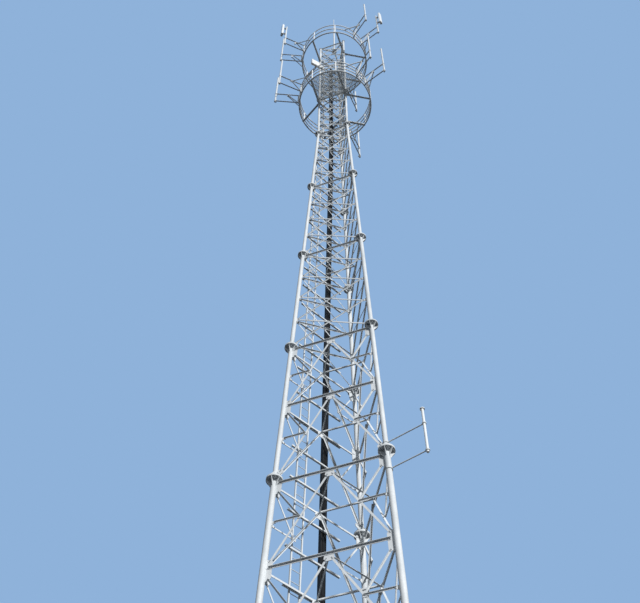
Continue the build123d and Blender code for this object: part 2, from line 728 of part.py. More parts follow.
def pole_bracket(hand, rails, out):
    """Post on the ring, two arms, a stay and a side brace, pointing along +X from the ring.

    out says on which side the flanges of the arms and the stay stand."""
    post_r = bracket_radius()
    top = BRACKET_POST_LENGTH - BRACKET_BAR
    post = extrude(Circle(BRACKET_POST), amount=BRACKET_POST_LENGTH + RING_PIPE)
    shapes = [Pos(post_r, 0, -RING_PIPE) * post]
    side_plane = Plane(origin=(0, 0, 0), x_dir=(1, 0, 0), z_dir=(0, -1, 0))
    end = post_r + BRACKET_REACH - PLATE
    for rise in (0, top):
        arm = angle_bar((post_r, rise), (end, rise), BRACKET_BAR, LIGHT_WALL, out, False, 0)
        shapes.append(side_plane * arm)
        plate = Box(PLATE, BRACKET_PLATE, BRACKET_PLATE, align=(Align.MIN, Align.CENTER, Align.CENTER))
        shapes.append(Pos(end, 0, rise) * plate)
        shapes.append(Pos(pole_radius(), 0, rise) * pole_clamp())
    middle = post_r + BRACKET_REACH / 2
    stay_foot = (post_r + STAY_START, STAY_LIFT)
    shapes.append(side_plane * angle_bar(stay_foot, (middle, top), BRACKET_BAR, LIGHT_WALL, out, False, 0))
    spread = math.radians(BRACE_SPREAD * hand)
    rail_r = RING_RADIUS + RING_PIPE + GAP
    foot_r = rail_r + BRACE_WIDTH / 2
    foot_at = (foot_r * math.cos(spread), foot_r * math.sin(spread))
    lift = rails[-2] if len(rails) > 2 else rails[0]
    brace = angle_bar((middle, 0), foot_at, BRACE_WIDTH, LIGHT_WALL, True, True, 0)
    shapes.append(Pos(0, 0, lift) * brace)
    link = Box(BRACKET_BAR, BRACKET_BAR, abs(lift - top) + BRACKET_BAR)
    shapes.append(Pos(middle, 0, (lift + top) / 2) * link)
    pad = Box(PLATE, BRACKET_PLATE / 2, BRACKET_PLATE / 2)
    shapes.append(Pos(0, 0, lift) * Rot(0, 0, math.degrees(spread)) * Pos(rail_r + PLATE / 2, 0, 0) * pad)
    return fuse_all(shapes)


def bracket_places():
    """Angle and hand of each bracket, and the side of its flanges; the left leg's face the front."""
    places = []
    for leg in (210, 330, 90):
        for hand, offset in zip((-1, 1), BRACKET_ANGLES):
            places.append((leg + offset, hand, leg != 210))
    return places


def pole_brackets(level, rails):
    return [Pos(0, 0, level) * Rot(0, 0, angle) * pole_bracket(hand, rails, out)
            for angle, hand, out in bracket_places()]


def antenna_poles(level, length, first_length):
    """Upright poles on the brackets; the first, left of the front, has its own length."""
    poles = []
    for i, (angle, hand, out) in enumerate(bracket_places()):
        amount = first_length if i == 0 else length
        pole = Pos(pole_radius(), 0, level - POLE_DROP) * extrude(Circle(POLE_RADIUS), amount=amount)
        poles.append(Rot(0, 0, angle) * pole)
    return poles


def panel_antenna(angle):
    """Flat upright box with two clamps, on one of the upper poles."""
    face = pole_radius() + POLE_RADIUS + GAP
    bottom = UPPER_RING + ANTENNA_RISE
    size = (ANTENNA_DEPTH, ANTENNA_WIDTH, ANTENNA_LENGTH)
    box = Pos(face + ANTENNA_STANDOFF, 0, bottom) * Box(*size, align=(Align.MIN, Align.CENTER, Align.MIN))
    shapes = [fillet(box.edges().filter_by(Axis.Z), ANTENNA_DEPTH / 4)]
    arm_size = (ANTENNA_STANDOFF + CLAMP_SINK, POLE_RADIUS * 2, CLAMP_HEIGHT)
    for rise in (CLAMP_INSET, ANTENNA_LENGTH - CLAMP_INSET):
        clamp = Box(*arm_size, align=(Align.MIN, Align.CENTER, Align.CENTER))
        shapes.append(Pos(face, 0, bottom + rise) * clamp)
    return Rot(0, 0, angle) * fuse_all(shapes)


def top_frame():
    hub = extrude(Circle(HUB_RADIUS), amount=ROD_PLATE)
    shapes = [hub]
    size = (TOP_RADIUS + HEAD_LEG_RADIUS, HUB_BAR, ROD_PLATE)
    for leg in (90, 210, 330):
        spoke = Box(*size, align=(Align.MIN, Align.CENTER, Align.MIN))
        shapes.append(Rot(0, 0, leg) * spoke)
    return Pos(0, 0, TOWER_TOP) * fuse_all(shapes)


def lightning_rod():
    base = TOWER_TOP + ROD_PLATE
    lower = extrude(Circle(ROD_RADIUS), amount=ROD_LOWER_LENGTH)
    upper = Pos(0, 0, ROD_LOWER_LENGTH) * extrude(Circle(ROD_TIP_RADIUS), amount=ROD_UPPER_LENGTH)
    plate = extrude(Circle(ROD_RADIUS * 2), amount=ROD_PLATE)
    return Pos(0, 0, base) * fuse_all([lower, upper, plate])


def side_place(z):
    """Point at height z on the axis of the side antenna's upright pipe."""
    leg = leg_point(SIDE_RISE)
    a = math.radians(SIDE_HEADING)
    return Vector(leg.X + SIDE_REACH * math.cos(a), leg.Y + SIDE_REACH * math.sin(a), z)


def side_bracket():
    """Two arms from half collars on the right leg to eyes round the side antenna's pipe."""
    arms = []
    leg_axis = (leg_point(TAPER_HEIGHT) - leg_point(0)).normalized()
    for rise, index in zip(SIDE_ARMS, SIDE_SECTIONS):
        z = SIDE_RISE + rise
        r = LEG_RADII[index]
        leg = leg_point(z)
        run = side_place(z) - leg
        outwards = run.normalized()
        ring = Cylinder(r + SIDE_COLLAR, SIDE_COLLAR * 3) - Cylinder(r + GAP, SIDE_COLLAR * 4)
        outer = Box(r * 2, r * 3, SIDE_COLLAR * 4, align=(Align.MIN, Align.CENTER, Align.CENTER))
        collar = Plane(origin=leg, x_dir=outwards, z_dir=leg_axis) * (ring & outer)
        start = r + SIDE_COLLAR / 2
        end = run.length - SIDE_RADIUS - SIDE_COLLAR / 2
        rod = extrude(Circle(SIDE_ARM), amount=end - start)
        arm = Plane(origin=leg + outwards * start, z_dir=outwards) * rod
        eye = Cylinder(SIDE_RADIUS + SIDE_COLLAR, SIDE_COLLAR * 2)
        eye -= Cylinder(SIDE_RADIUS + GAP, SIDE_COLLAR * 3)
        arms.append(fuse_all([collar, arm, Pos(*side_place(z)) * eye]))
    return arms


def side_antenna():
    pipe = extrude(Circle(SIDE_RADIUS), amount=SIDE_LENGTH)
    cap = Pos(0, 0, SIDE_LENGTH) * extrude(Circle(SIDE_RADIUS + SIDE_CAP_LIP), amount=SIDE_CAP, taper=20)
    return Pos(*side_place(SIDE_RISE)) * fuse_all([pipe, cap])


def rail_radius():
    return RING_RADIUS + RING_PIPE - RAIL_PIPE


def rail_box(size, inner_end):
    """White equipment box lying across the lower platform's top rail, from its inner end outwards."""
    a = math.radians(BOX_ANGLE)
    r = rail_radius() + BOX_OUT
    z = LOWER_RING + LOWER_RAILS[-1] + RAIL_PIPE + GAP
    box = Pos(inner_end, 0, 0) * Box(*size, align=(Align.MIN, Align.CENTER, Align.MIN))
    return Pos(r * math.cos(a), r * math.sin(a), z) * Rot(0, 0, BOX_HEADING) * box


FACES = {"front": 0, "right": 120, "left": 240}

for i in range(TAPERED_SECTIONS):
    save(f"legs_section_{i + 1}", all_round(leg_section(i)))
head_low = head_section(TAPER_HEIGHT, HEAD_FLANGE, HEAD_PANELS_LOW, LOWER_RING - ARM_SEAT, False)
save("legs_head_lower", all_round(head_low))
head_high = head_section(HEAD_FLANGE, TOWER_TOP, HEAD_PANELS_HIGH, UPPER_RING - ARM_SEAT, True)
save("legs_head_upper", all_round(head_high))

lower = front_plane(True).location * fuse_all(lower_bracing())
upper = front_plane(True).location * fuse_all(upper_bracing())
head = front_plane(False).location * fuse_all(head_bracing())
for name, turn in FACES.items():
    save(f"{name}_lower_bracing", Rot(0, 0, turn) * lower)
    save(f"{name}_upper_bracing", Rot(0, 0, turn) * upper)
    save(f"{name}_head_bracing", Rot(0, 0, turn) * head)
save("plan_bracing", plan_bracing())

save("carrier_bars", carrier_bars())
save("climbing_ladder", ladder())
save("cable_tray", cable_tray())
save("feeder_cables", feeder_cables())

save("lower_ring", ring_frame(LOWER_RING))
save("upper_ring", ring_frame(UPPER_RING))
save("lower_railing", railing(LOWER_RING, LOWER_RAILS))
save("upper_railing", railing(UPPER_RING, UPPER_RAILS))
save("platform_floor", platform_floor())
save("lower_pole_brackets", pole_brackets(LOWER_RING, LOWER_RAILS))
save("upper_pole_brackets", pole_brackets(UPPER_RING, UPPER_RAILS))
save("lower_antenna_poles", antenna_poles(LOWER_RING, LOWER_POLE_LENGTH, LOWER_POLE_LENGTH))
save("upper_antenna_poles", antenna_poles(UPPER_RING, UPPER_POLE_LENGTH, LONG_POLE_LENGTH))

left_angle = 210 + BRACKET_ANGLES[1]
right_angle = 330 + BRACKET_ANGLES[1]
save("left_panel_antenna", panel_antenna(left_angle))
save("right_panel_antenna", panel_antenna(right_angle))
save("long_rail_box", rail_box(LONG_BOX, -LONG_BOX[0] / 2))
save("short_rail_box", rail_box(SHORT_BOX, -LONG_BOX[0] / 2 - SHORT_BOX[0]))
save("top_frame", top_frame())
save("lightning_rod", lightning_rod())
save("side_antenna_bracket", side_bracket())
save("side_antenna", side_antenna())
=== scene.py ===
import math

import bmesh
import bpy
from mathutils import Matrix, Vector


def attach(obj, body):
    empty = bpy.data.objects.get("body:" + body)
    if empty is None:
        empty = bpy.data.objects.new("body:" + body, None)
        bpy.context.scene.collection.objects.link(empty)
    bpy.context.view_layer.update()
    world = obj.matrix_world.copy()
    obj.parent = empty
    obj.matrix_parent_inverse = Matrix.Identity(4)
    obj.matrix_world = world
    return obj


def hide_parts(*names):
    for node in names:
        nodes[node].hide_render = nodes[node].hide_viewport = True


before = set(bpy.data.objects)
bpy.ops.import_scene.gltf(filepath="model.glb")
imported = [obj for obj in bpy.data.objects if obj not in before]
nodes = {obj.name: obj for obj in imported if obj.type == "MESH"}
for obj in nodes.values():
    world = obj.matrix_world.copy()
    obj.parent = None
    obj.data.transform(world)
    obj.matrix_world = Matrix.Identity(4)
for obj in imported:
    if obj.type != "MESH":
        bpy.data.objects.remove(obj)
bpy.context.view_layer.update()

# Camera: stood on the ground in front of the tower, tilted up at the head. Lens and place are
# those at which the joints of the three legs fall where the photograph has them.
SHOT_WIDTH = 640
CAMERA_PLACE = Vector((2.1839, -7.6517, 0.030))
CAMERA_HEADING, CAMERA_PITCH, CAMERA_ROLL = 110.286, 58.233, 0.908
FOCAL_PIXELS = 937.36
SENSOR_WIDTH = 36.0
NEAREST, FARTHEST = 0.05, 400.0
bpy.ops.object.camera_add(location=CAMERA_PLACE)
camera = bpy.context.object
camera.data.sensor_width = SENSOR_WIDTH
camera.data.lens = FOCAL_PIXELS / SHOT_WIDTH * SENSOR_WIDTH
camera.data.clip_start, camera.data.clip_end = NEAREST, FARTHEST
camera.rotation_mode = "QUATERNION"
camera.rotation_quaternion = (
    Matrix.Rotation(math.radians(CAMERA_HEADING - 90), 4, "Z")
    @ Matrix.Rotation(math.radians(CAMERA_PITCH + 90), 4, "X")
    @ Matrix.Rotation(math.radians(CAMERA_ROLL), 4, "Z")
).to_quaternion()
bpy.context.scene.camera = camera

# Legs: hot-dip galvanised steel pipe in flanged sections, with ribs and gusset plates welded on.
# Each joint is closed by a ring of hexagon bolts, and a weld bead runs round the pipe beside it.
MM = 0.001
BASE_WIDTH, TOP_WIDTH = 1.740, 0.594
SECTION, SECTIONS, K_SECTIONS = 2.5, 7, 4
TAPER_HEIGHT = SECTION * SECTIONS
HEAD_FLANGE = TAPER_HEIGHT + 1.962
TOWER_TOP = TAPER_HEIGHT + 5.625
BASE_RADIUS, TOP_RADIUS = BASE_WIDTH / math.sqrt(3), TOP_WIDTH / math.sqrt(3)
FACE_LEAN = math.atan2((BASE_RADIUS - TOP_RADIUS) / 2, TAPER_HEIGHT)
TOWER_AXIS = Vector((0, -BASE_RADIUS, 0))
LEG_RADII = [0.034, 0.034, 0.034, 0.0285, 0.0285, 0.025, 0.025]
HEAD_LEG_RADIUS = 0.0225
FLANGE_LIPS = [0.0585, 0.0585, 0.0585, 0.059, 0.0515, 0.0525, 0.045]
HEAD_FLANGE_LIP = 0.0375
FLANGE_THICKNESS = 0.012
FOOT_THICKNESS, FOOT_HOLES, FOOT_HOLE_CIRCLE, FOOT_HOLE_TURN = 0.020, 4, 0.210, 15.0
BACK, LEFT, RIGHT = 90, 210, 330
LEG_HEADINGS = (BACK, LEFT, RIGHT)
FLANGE_BOLTS, FLANGE_BOLT_TURN, BOLT_CIRCLE_SHARE = 12, 45.0, 0.58
BOLT_ACROSS, BOLT_HEAD, WASHER = 16 * MM, 7 * MM, 1.5 * MM
WASHER_SHARE, CHAMFER_SHARE, CROWN_SHARE = 0.68, 0.1, 0.14
ANCHOR_ACROSS, ANCHOR_HEAD = 24 * MM, 13 * MM
BEAD_WIDTH, BEAD_SHARE = 2.2 * MM, 0.06
FLAT, SMOOTH_BELOW = 0.9, 35


def colour(hex_code):
    """Linear colour of an sRGB hex value."""
    parts = [int(hex_code[i:i + 2], 16) / 255 for i in (1, 3, 5)]
    return [c / 12.92 if c <= 0.04045 else ((c + 0.055) / 1.055) ** 2.4 for c in parts] + [1.0]


def node(tree, kind, settings=None, **links):
    """Adds a shader node, sets its values and links its inputs."""
    made = tree.nodes.new(kind)
    for key, value in (settings or {}).items():
        if hasattr(made, key):
            setattr(made, key, value)
        else:
            made.inputs[key].default_value = value
    for key, source in links.items():
        tree.links.new(source, made.inputs[key.replace("_", " ")])
    return made


def new_material(name, metallic, roughness):
    """Empty material with its main shader; the object's own coordinates come with it."""
    made = bpy.data.materials.new(name)
    made.use_nodes = True
    tree = made.node_tree
    shader = tree.nodes["Principled BSDF"]
    shader.inputs["Metallic"].default_value = metallic
    shader.inputs["Roughness"].default_value = roughness
    place = node(tree, "ShaderNodeTexCoord").outputs["Object"]
    return made, tree, shader, place


def ramp(tree, source, *stops):
    """Colour ramp with stops of (position, hex colour)."""
    made = node(tree, "ShaderNodeValToRGB", Fac=source)
    while len(made.color_ramp.elements) < len(stops):
        made.color_ramp.elements.new(0.5)
    for element, (position, hex_code) in zip(made.color_ramp.elements, stops):
        element.position = position
        element.color = colour(hex_code)
    return made.outputs["Color"]


def zinc(name, dark, middle, pale):
    """Hot-dip galvanising a few years old: matt and pale, with changes of tone 350 mm long from the
    bath, runs 30 mm wide and 500 mm long, and crystals of 8 mm that show only close by."""
    made, tree, shader, place = new_material(name, 0.0, 0.5)
    patch, run_width, run_length, crystal = 0.35, 0.03, 0.5, 0.008
    bath = node(tree, "ShaderNodeTexNoise", {"Scale": 1 / patch, "Detail": 4.0, "Roughness": 0.6},
                Vector=place)
    stretch = (1 / run_width, 1 / run_width, 1 / run_length)
    stretched = node(tree, "ShaderNodeMapping", {"Scale": stretch}, Vector=place)
    runs = node(tree, "ShaderNodeTexNoise", {"Scale": 1.0, "Detail": 3.0},
                Vector=stretched.outputs["Vector"])
    crystals = node(tree, "ShaderNodeTexVoronoi", {"Scale": 1 / crystal}, Vector=place)
    tone = node(tree, "ShaderNodeMix", {"Factor": 0.4},
                A=bath.outputs["Fac"], B=runs.outputs["Fac"])
    base = ramp(tree, tone.outputs["Result"], (0.3, dark), (0.5, middle), (0.7, pale))
    grain = node(tree, "ShaderNodeSeparateColor", Color=crystals.outputs["Color"])
    spangle = ramp(tree, grain.outputs["Red"], (0.0, "#E4E6E8"), (1.0, "#FFFFFF"))
    mixed = node(tree, "ShaderNodeMixRGB", {"blend_type": "MULTIPLY", "Fac": 0.5},
                 Color1=base, Color2=spangle)
    tree.links.new(mixed.outputs["Color"], shader.inputs["Base Color"])
    rough = node(tree, "ShaderNodeMapRange", {"To Min": 0.55, "To Max": 0.75},
                 Value=tone.outputs["Result"])
    tree.links.new(rough.outputs["Result"], shader.inputs["Roughness"])
    skin = node(tree, "ShaderNodeBump", {"Strength": 0.15, "Distance": 0.0005},
                Height=bath.outputs["Fac"])
    tree.links.new(skin.outputs["Normal"], shader.inputs["Normal"])
    return made


def dress(name, material):
    """Gives a node of the frame its finish."""
    slots = nodes[name].data.materials
    for i in range(len(slots)):
        slots[i] = material
    if not slots:
        slots.append(material)


def fresh(operator, **settings):
    """Adds a primitive with nothing else selected, and puts its place and turn into its mesh."""
    bpy.ops.object.select_all(action="DESELECT")
    operator(**settings)
    bpy.ops.object.transform_apply(location=True, rotation=True, scale=True)
    return bpy.context.object


def pick(piece, test):
    """Goes into edit mode and selects the faces whose centre and normal pass a test."""
    bpy.ops.object.mode_set(mode="EDIT")
    bpy.ops.mesh.select_mode(type="FACE")
    bpy.ops.mesh.select_all(action="DESELECT")
    work = bmesh.from_edit_mesh(piece.data)
    for face in work.faces:
        face.select_set(test(face.calc_center_median(), face.normal))
    bmesh.update_edit_mesh(piece.data)


def pushed(distance):
    """Extrudes what is selected straight up by a distance."""
    bpy.ops.mesh.extrude_region_move(TRANSFORM_OT_translate={"value": (0, 0, distance)})


def joined(name, *pieces):
    """Joins pieces into one mesh."""
    bpy.ops.object.select_all(action="DESELECT")
    for piece in pieces:
        piece.select_set(True)
    bpy.context.view_layer.objects.active = pieces[0]
    bpy.ops.object.join()
    pieces[0].name = name
    return pieces[0]


def finished(piece, material):
    """Gives a piece its finish and lets it ride on the tower."""
    bpy.ops.object.select_all(action="DESELECT")
    piece.select_set(True)
    bpy.context.view_layer.objects.active = piece
    bpy.ops.object.shade_smooth_by_angle(angle=math.radians(SMOOTH_BELOW))
    piece.data.materials.clear()
    piece.data.materials.append(material)
    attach(piece, "root")
    return piece


def copies(name, pattern, places, material):
    """One mesh of many copies of a modelled piece, each at its own place."""
    corners = [vertex.co.copy() for vertex in pattern.data.vertices]
    outlines = [list(face.vertices) for face in pattern.data.polygons]
    points, faces = [], []
    for place in places:
        first = len(points)
        points += [place @ corner for corner in corners]
        faces += [[first + i for i in outline] for outline in outlines]
    mesh = bpy.data.meshes.new(name)
    mesh.from_pydata(points, [], faces)
    piece = bpy.data.objects.new(name, mesh)
    bpy.context.collection.objects.link(piece)
    return finished(piece, material)


def discard(*patterns):
    """Removes patterns once their copies are made."""
    for pattern in patterns:
        bpy.data.objects.remove(pattern, do_unlink=True)


def hex_bolt(name, across, height, washer):
    """Hexagon head with chamfered corners on its round washer, standing on z = 0."""
    ring = fresh(bpy.ops.mesh.primitive_cylinder_add, vertices=12, radius=across * WASHER_SHARE,
                 depth=washer, location=(0, 0, washer / 2))
    head = fresh(bpy.ops.mesh.primitive_cylinder_add, vertices=6, radius=across / math.sqrt(3),
                 depth=height, location=(0, 0, washer + height / 2))
    pick(head, lambda centre, normal: normal.z > FLAT)
    bpy.ops.mesh.inset(thickness=across * CHAMFER_SHARE)
    bpy.ops.transform.translate(value=(0, 0, height * CROWN_SHARE))
    bpy.ops.object.mode_set(mode="OBJECT")
    return joined(name, ring, head)


def standing(point, up):
    """Place with z along a direction."""
    return Matrix.Translation(point) @ up.to_track_quat("Z", "Y").to_matrix().to_4x4()


def leg_point(z, heading):
    """Point on a leg's axis at height z."""
    r = BASE_RADIUS + (TOP_RADIUS - BASE_RADIUS) * min(z / TAPER_HEIGHT, 1.0)
    a = math.radians(heading)
    return TOWER_AXIS + Vector((r * math.cos(a), r * math.sin(a), z))


def joints():
    """Each flanged joint: its point, its leg's direction there, and the radii of the pipes below
    and above it and of its circle of bolts."""
    upright = Vector((0, 0, 1))
    found = []
    for heading in LEG_HEADINGS:
        lean = (leg_point(TAPER_HEIGHT, heading) - leg_point(0, heading)).normalized()
        for i in range(1, SECTIONS + 1):
            below = LEG_RADII[i - 1]
            above = LEG_RADII[i] if i < SECTIONS else HEAD_LEG_RADIUS
            circle = below + FLANGE_LIPS[i - 1] * BOLT_CIRCLE_SHARE
            axis = upright if i == SECTIONS else lean
            found.append((leg_point(SECTION * i, heading), axis, below, above, circle))
        circle = HEAD_LEG_RADIUS + HEAD_FLANGE_LIP * BOLT_CIRCLE_SHARE
        found.append((leg_point(HEAD_FLANGE, heading), upright,
                      HEAD_LEG_RADIUS, HEAD_LEG_RADIUS, circle))
    return found


steel = zinc("galvanised_zinc", "#BDC2C4", "#D1D5D7", "#E3E6E7")
bolt_steel = zinc("galvanised_bolt", "#979C9F", "#ADB1B4", "#C2C6C8")
for name in nodes:
    dress(name, steel)

bolt = hex_bolt("bolt_pattern", BOLT_ACROSS, BOLT_HEAD, WASHER)
anchor = hex_bolt("anchor_pattern", ANCHOR_ACROSS, ANCHOR_HEAD, WASHER * 2)
bead = fresh(bpy.ops.mesh.primitive_torus_add, major_radius=1.0, minor_radius=BEAD_SHARE,
             major_segments=20, minor_segments=6)
bolt_places, bead_places = [], []
for point, axis, below, above, circle in joints():
    side = Vector((0, 1, 0)) - axis * axis.y
    side.normalize()
    for i in range(FLANGE_BOLTS):
        turn = Matrix.Rotation(math.radians(FLANGE_BOLT_TURN + 360 / FLANGE_BOLTS * i), 4, axis)
        out = turn @ side * circle
        bolt_places.append(standing(point + out + axis * FLANGE_THICKNESS, axis))
        bolt_places.append(standing(point + out - axis * FLANGE_THICKNESS, -axis))
    for radius, shift in ((above, FLANGE_THICKNESS), (below, -FLANGE_THICKNESS)):
        reach = radius + BEAD_WIDTH / 3
        scale = Matrix.Diagonal((reach, reach, BEAD_WIDTH / BEAD_SHARE, 1.0))
        bead_places.append(standing(point + axis * shift, axis) @ scale)
copies("flange_bolts", bolt, bolt_places, bolt_steel)
copies("flange_weld_beads", bead, bead_places, steel)
anchor_places = []
for heading in LEG_HEADINGS:
    for i in range(FOOT_HOLES):
        a = math.radians(FOOT_HOLE_TURN + 360 / FOOT_HOLES * i + heading - RIGHT)
        out = Vector((math.cos(a), math.sin(a), 0)) * FOOT_HOLE_CIRCLE / 2
        seat = leg_point(0, heading) + out + Vector((0, 0, FOOT_THICKNESS))
        anchor_places.append(Matrix.Translation(seat))
copies("anchor_nuts", anchor, anchor_places, bolt_steel)
discard(bolt, anchor, bead)

# Bracing: angle bars of galvanised steel, bolted to the gusset plates. Each heavy end has two
# hexagon bolts and each light end one, with a hexagon and a washer on both sides of the bar.
FACE_CLEARANCE = 22 * MM
HORIZONTAL_DROP, LANDING, FLANGE_LANDING, STRUT_DROP = 0.075, 0.075, 0.110, 0.130
FOOT_LANDING, CROSS_LANDING, CROSS_PANELS, APEX_WIDTH, APEX_HEIGHT = 0.120, 0.070, 4, 0.110, 0.084
HEAD_PANELS = ((TAPER_HEIGHT, HEAD_FLANGE, 4), (HEAD_FLANGE, TOWER_TOP, 8))
PLATE_SIDE, HEAVY, LIGHT = 3 * MM, 7 * MM, 6 * MM
TWO_BOLTS, ONE_BOLT, NODE_BOLT = (9 * MM, 26 * MM), (11 * MM,), (6 * MM,)
SMALL_ACROSS, SMALL_HEAD = 9 * MM, 5 * MM
FRONT_TURN, RIGHT_TURN, LEFT_TURN = 0, 120, 240


def half_width(z):
    """Half of the distance between two legs at height z."""
    return leg_point(z, RIGHT).x


def up_face(z, tapered):
    """Height z as a distance up the face's own plane."""
    return z / math.cos(FACE_LEAN) if tapered else z


def face_place(turn, tapered):
    """Place of a face's own plane: x to its right, y up the face and z outwards."""
    lean = FACE_LEAN if tapered else 0.0
    depth = (BASE_RADIUS if tapered else TOP_RADIUS) / 2
    plane = Matrix.Translation((0, -depth, 0)) @ Matrix.Rotation(math.radians(90) - lean, 4, "X")
    return Matrix.Translation(TOWER_AXIS) @ Matrix.Rotation(math.radians(turn), 4, "Z") @ plane


def bar_bolts(start, end, from_start, from_end, outer, inner):
    """Bolts along a bar, as (x, y, height of the head, depth of the nut) in the face's plane."""
    run = Vector(end) - Vector(start)
    length = run.length
    run.normalize()
    steps = list(from_start) + [length - step for step in from_end]
    return [(*(Vector(start) + run * step), outer, inner) for step in steps]


def k_bolts(z_low, z_high, landing, top_bar):
    """Bolts of one inverted V panel: its horizontal, diagonals, ties and struts."""
    low, top = up_face(z_low + landing, True), up_face(top_bar, True)
    strut_top = up_face(top_bar - STRUT_DROP, True)
    clear_low = half_width(z_low) - FACE_CLEARANCE - LEG_RADII[0]
    clear_high = half_width(z_high) - FACE_CLEARANCE - LEG_RADII[0]
    found = bar_bolts((-clear_high, top), (clear_high, top),
                      TWO_BOLTS, TWO_BOLTS, HEAVY, PLATE_SIDE)
    for side in (-1, 1):
        foot = (side * clear_low, low)
        head = (side * APEX_WIDTH / 5, top - APEX_HEIGHT / 2)
        middle = ((foot[0] + head[0]) / 2, (foot[1] + head[1]) / 2)
        tie_x = half_width(middle[1] * math.cos(FACE_LEAN)) - FACE_CLEARANCE - LEG_RADII[0]
        found += bar_bolts(foot, head, TWO_BOLTS, TWO_BOLTS, PLATE_SIDE, HEAVY)
        found += bar_bolts(middle, (side * tie_x, middle[1]), NODE_BOLT, (), LIGHT, HEAVY)
        found += bar_bolts(middle, (side * tie_x, middle[1]), (), ONE_BOLT, LIGHT, PLATE_SIDE)
        found += bar_bolts(middle, (side * clear_high, strut_top), (), TWO_BOLTS, LIGHT, PLATE_SIDE)
    return found


def cross_bolts(z_low, z_high, tapered, radius):
    """Bolts of one pair of crossed bars: their ends, and the one where they cross."""
    low, high = up_face(z_low, tapered), up_face(z_high, tapered)
    x_low = half_width(z_low) - FACE_CLEARANCE - radius
    x_high = half_width(z_high) - FACE_CLEARANCE - radius
    found = bar_bolts((-x_low, low), (x_high, high), ONE_BOLT, ONE_BOLT, LIGHT, PLATE_SIDE)
    found += bar_bolts((-x_high, high), (x_low, low), ONE_BOLT, ONE_BOLT, PLATE_SIDE, LIGHT)
    found.append((0, low + (high - low) * x_low / (x_low + x_high), LIGHT, LIGHT))
    return found


def level_bolts(z, tapered, radius):
    """Bolts of a single horizontal."""
    x, y = half_width(z) - FACE_CLEARANCE - radius, up_face(z, tapered)
    return bar_bolts((-x, y), (x, y), ONE_BOLT, ONE_BOLT, LIGHT, PLATE_SIDE)


tapered_bolts, upright_bolts = [], []
for i in range(K_SECTIONS):
    low, middle, top = SECTION * i, SECTION * (i + 0.5), SECTION * (i + 1)
    tapered_bolts += k_bolts(low, middle, FOOT_LANDING if i == 0 else FLANGE_LANDING, middle)
    tapered_bolts += k_bolts(middle, top, LANDING, top - HORIZONTAL_DROP)
for i in range(K_SECTIONS, SECTIONS):
    pitch = (SECTION - CROSS_LANDING * 2) / CROSS_PANELS
    for j in range(CROSS_PANELS):
        low = SECTION * i + CROSS_LANDING + pitch * j
        tapered_bolts += cross_bolts(low, low + pitch, True, LEG_RADII[i])
    tapered_bolts += level_bolts(SECTION * (i + 1) - HORIZONTAL_DROP, True, LEG_RADII[i])
for low, high, panels in HEAD_PANELS:
    pitch = (high - low - CROSS_LANDING * 2) / panels
    for j in range(panels):
        z = low + CROSS_LANDING + pitch * j
        upright_bolts += cross_bolts(z, z + pitch, False, HEAD_LEG_RADIUS)
small = hex_bolt("small_bolt_pattern", SMALL_ACROSS, SMALL_HEAD, WASHER)
turned_over = Matrix.Rotation(math.pi, 4, "X")
for face, turn in (("front", FRONT_TURN), ("right", RIGHT_TURN), ("left", LEFT_TURN)):
    places = []
    for spots, tapered in ((tapered_bolts, True), (upright_bolts, False)):
        plane = face_place(turn, tapered)
        for x, y, outer, inner in spots:
            places.append(plane @ Matrix.Translation((x, y, outer)))
            places.append(plane @ Matrix.Translation((x, y, -inner)) @ turned_over)
    copies(f"{face}_bracing_bolts", small, places, bolt_steel)

# Feeder cables: three coaxial cables with a matt black polyethylene jacket, run up the tray on the
# left face. Ties of the same black plastic hold each of them every half metre. The tray's zinc is
# made near black as painted shade, for the shadow the tray lies in.
TRAY_OFFSET, TRAY_HEAD_OFFSET = -0.128, -0.095
CABLE_RADIUS, CABLE_GAP, CABLE_COUNT = 10.5 * MM, 1.5 * MM, 3
CABLE_FOOT, CABLE_TOP = 0.300, TAPER_HEIGHT + 4.900
HORIZONTAL_WIDTH, CARRIER_WIDTH, GAP = 24 * MM, 22 * MM, 0.3 * MM
RUN_LAYER = PLATE_SIDE + HORIZONTAL_WIDTH + CARRIER_WIDTH
CABLE_LAYER = RUN_LAYER + CABLE_RADIUS + GAP
BAND_PITCH, BAND_START, BAND_WIRE = 0.500, 0.25, 1.3 * MM
jacket, tree, shader, place = new_material("black_polyethylene", 0.0, 0.7)
weather = node(tree, "ShaderNodeTexNoise", {"Scale": 1 / 0.12, "Detail": 5.0}, Vector=place)
faded = ramp(tree, weather.outputs["Fac"], (0.35, "#0E0F10"), (0.7, "#1B1C1E"))
tree.links.new(faded, shader.inputs["Base Color"])
shader.inputs["Specular IOR Level"].default_value = 0.2
scuff = node(tree, "ShaderNodeBump", {"Strength": 0.2, "Distance": 0.0003},
             Height=weather.outputs["Fac"])
tree.links.new(scuff.outputs["Normal"], shader.inputs["Normal"])
dress("feeder_cables", jacket)

band = fresh(bpy.ops.mesh.primitive_torus_add, major_radius=CABLE_RADIUS + BAND_WIRE / 2,
             minor_radius=BAND_WIRE, major_segments=14, minor_segments=4)
band_places = []
round_a_cable = Matrix.Rotation(math.pi / 2, 4, "X")
for i in range(int((CABLE_TOP - CABLE_FOOT) / BAND_PITCH)):
    z = CABLE_FOOT + BAND_PITCH * (i + BAND_START)
    tapered = z < TAPER_HEIGHT
    x = TRAY_OFFSET + (TRAY_HEAD_OFFSET - TRAY_OFFSET) * min(z / TAPER_HEIGHT, 1.0)
    for j in range(CABLE_COUNT):
        across = (j - (CABLE_COUNT - 1) / 2) * (CABLE_RADIUS * 2 + CABLE_GAP)
        spot = Matrix.Translation((x + across, up_face(z, tapered), CABLE_LAYER))
        band_places.append(face_place(LEFT_TURN, tapered) @ spot @ round_a_cable)
copies("cable_ties", band, band_places, jacket)
# Painted shade: the tray's zinc is made near black for the shadow it lies in.
tray_shade_zinc = zinc("painted_shade_tray_zinc", "#17191B", "#1E2022", "#282B2D")
